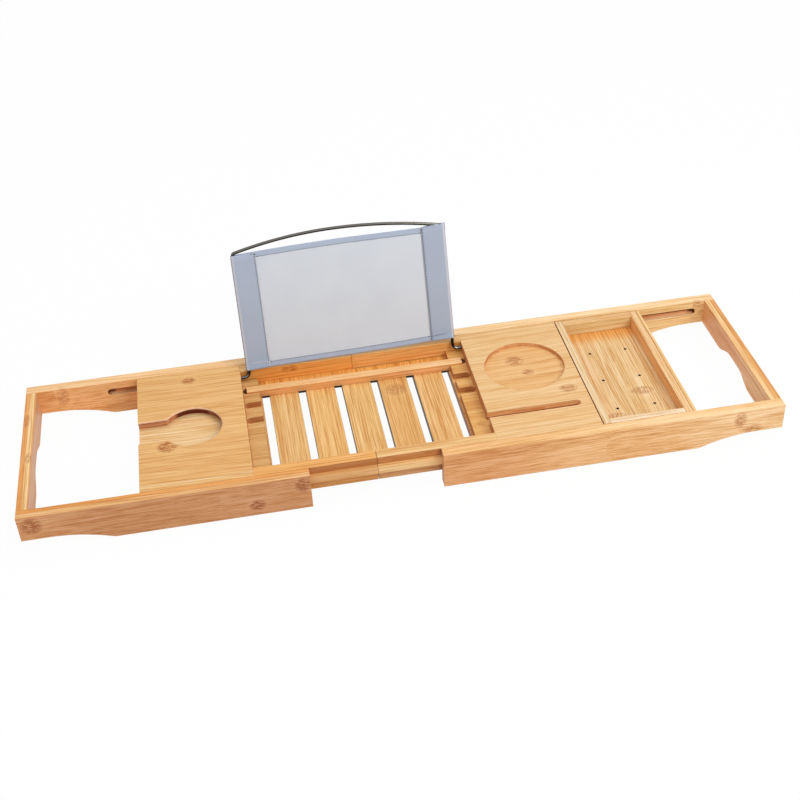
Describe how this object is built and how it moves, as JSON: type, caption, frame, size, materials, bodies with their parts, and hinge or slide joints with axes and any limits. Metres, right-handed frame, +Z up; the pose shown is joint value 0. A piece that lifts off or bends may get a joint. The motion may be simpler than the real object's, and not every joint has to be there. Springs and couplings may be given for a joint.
{
  "type": "bath_caddy",
  "caption": "Extending bamboo bath caddy with slatted well, leaning cloth book stand, loose book bar, lift-out soap tray, glass pocket, cup recess and phone slot",
  "frame": {"origin": "under the middle of the whole box, at the height of the feet; the leaning stand widens the box to the rear, so the rails' own middle line is at Y = -11.01 mm", "axes": "+X to the right end, along the length the frames slide in; +Y to the rear, where the book stand leans; +Z up"},
  "size_m": [0.8308, 0.2519, 0.1929],
  "materials": {
    "deck_bamboo": "satin",
    "rail_bamboo": "satin",
    "slat_bamboo": "satin",
    "dowel_wood": "matte",
    "pin_steel": "satin",
    "wire_steel": "gloss",
    "panel_cloth": "matte",
    "band_cloth": "matte"
  },
  "bodies": {
    "core": {"left_deck_board": "deck_bamboo", "right_deck_board": "deck_bamboo", "front_left_inner_rail": "rail_bamboo", "front_right_inner_rail": "rail_bamboo", "rear_left_inner_rail": "rail_bamboo", "rear_right_inner_rail": "rail_bamboo", "left_notched_ledge": "slat_bamboo", "right_notched_ledge": "slat_bamboo", "slat_1": "slat_bamboo", "slat_2": "slat_bamboo", "slat_3": "slat_bamboo", "slat_4": "slat_bamboo", "slat_5": "slat_bamboo", "rear_cross_rail": "slat_bamboo", "front_cross_rail": "slat_bamboo", "core_end_strip": "rail_bamboo", "front_left_stop_pin": "pin_steel", "rear_left_stop_pin": "pin_steel", "front_right_stop_pin": "pin_steel", "rear_right_stop_pin": "pin_steel"},
    "left_frame": {"left_front_rail": "rail_bamboo", "left_rear_rail": "rail_bamboo", "left_end_rail": "rail_bamboo", "left_front_lower_dowel": "dowel_wood", "left_front_upper_dowel": "dowel_wood", "left_rear_lower_dowel": "dowel_wood", "left_rear_upper_dowel": "dowel_wood"},
    "right_frame": {"right_front_rail": "rail_bamboo", "right_rear_rail": "rail_bamboo", "right_end_rail": "rail_bamboo", "right_front_lower_dowel": "dowel_wood", "right_front_upper_dowel": "dowel_wood", "right_rear_lower_dowel": "dowel_wood", "right_rear_upper_dowel": "dowel_wood"},
    "stand": {"stand_wire_frame": "wire_steel", "stand_cloth_panel": "panel_cloth", "stand_left_band": "band_cloth", "stand_right_band": "band_cloth"},
    "book_bar": {"book_rest_bar": "slat_bamboo"},
    "soap_tray": {"soap_tray_floor": "slat_bamboo", "soap_tray_left_wall": "slat_bamboo", "soap_tray_right_wall": "slat_bamboo", "soap_tray_front_wall": "slat_bamboo", "soap_tray_rear_wall": "slat_bamboo"}
  },
  "joints": [
    {"name": "left_slide", "type": "slide", "parent": "core", "child": "left_frame", "axis": [-1, 0, 0], "range_m": [-0.0735, 0.0763]},
    {"name": "right_slide", "type": "slide", "parent": "core", "child": "right_frame", "axis": [1, 0, 0], "range_m": [-0.0695, 0.1303]},
    {"name": "stand_hinge", "type": "hinge", "parent": "core", "child": "stand", "pos_m": [-0.0367, 0.07271, 0.0375], "axis": [1, 0, 0], "range_deg": [0, 108]},
    {"name": "book_bar_lift", "type": "slide", "parent": "core", "child": "book_bar", "axis": [0, 0, 1], "range_m": [0, 0.04]},
    {"name": "soap_tray_lift", "type": "slide", "parent": "core", "child": "soap_tray", "axis": [0, 0, 1], "range_m": [0, 0.06]}
  ]
}
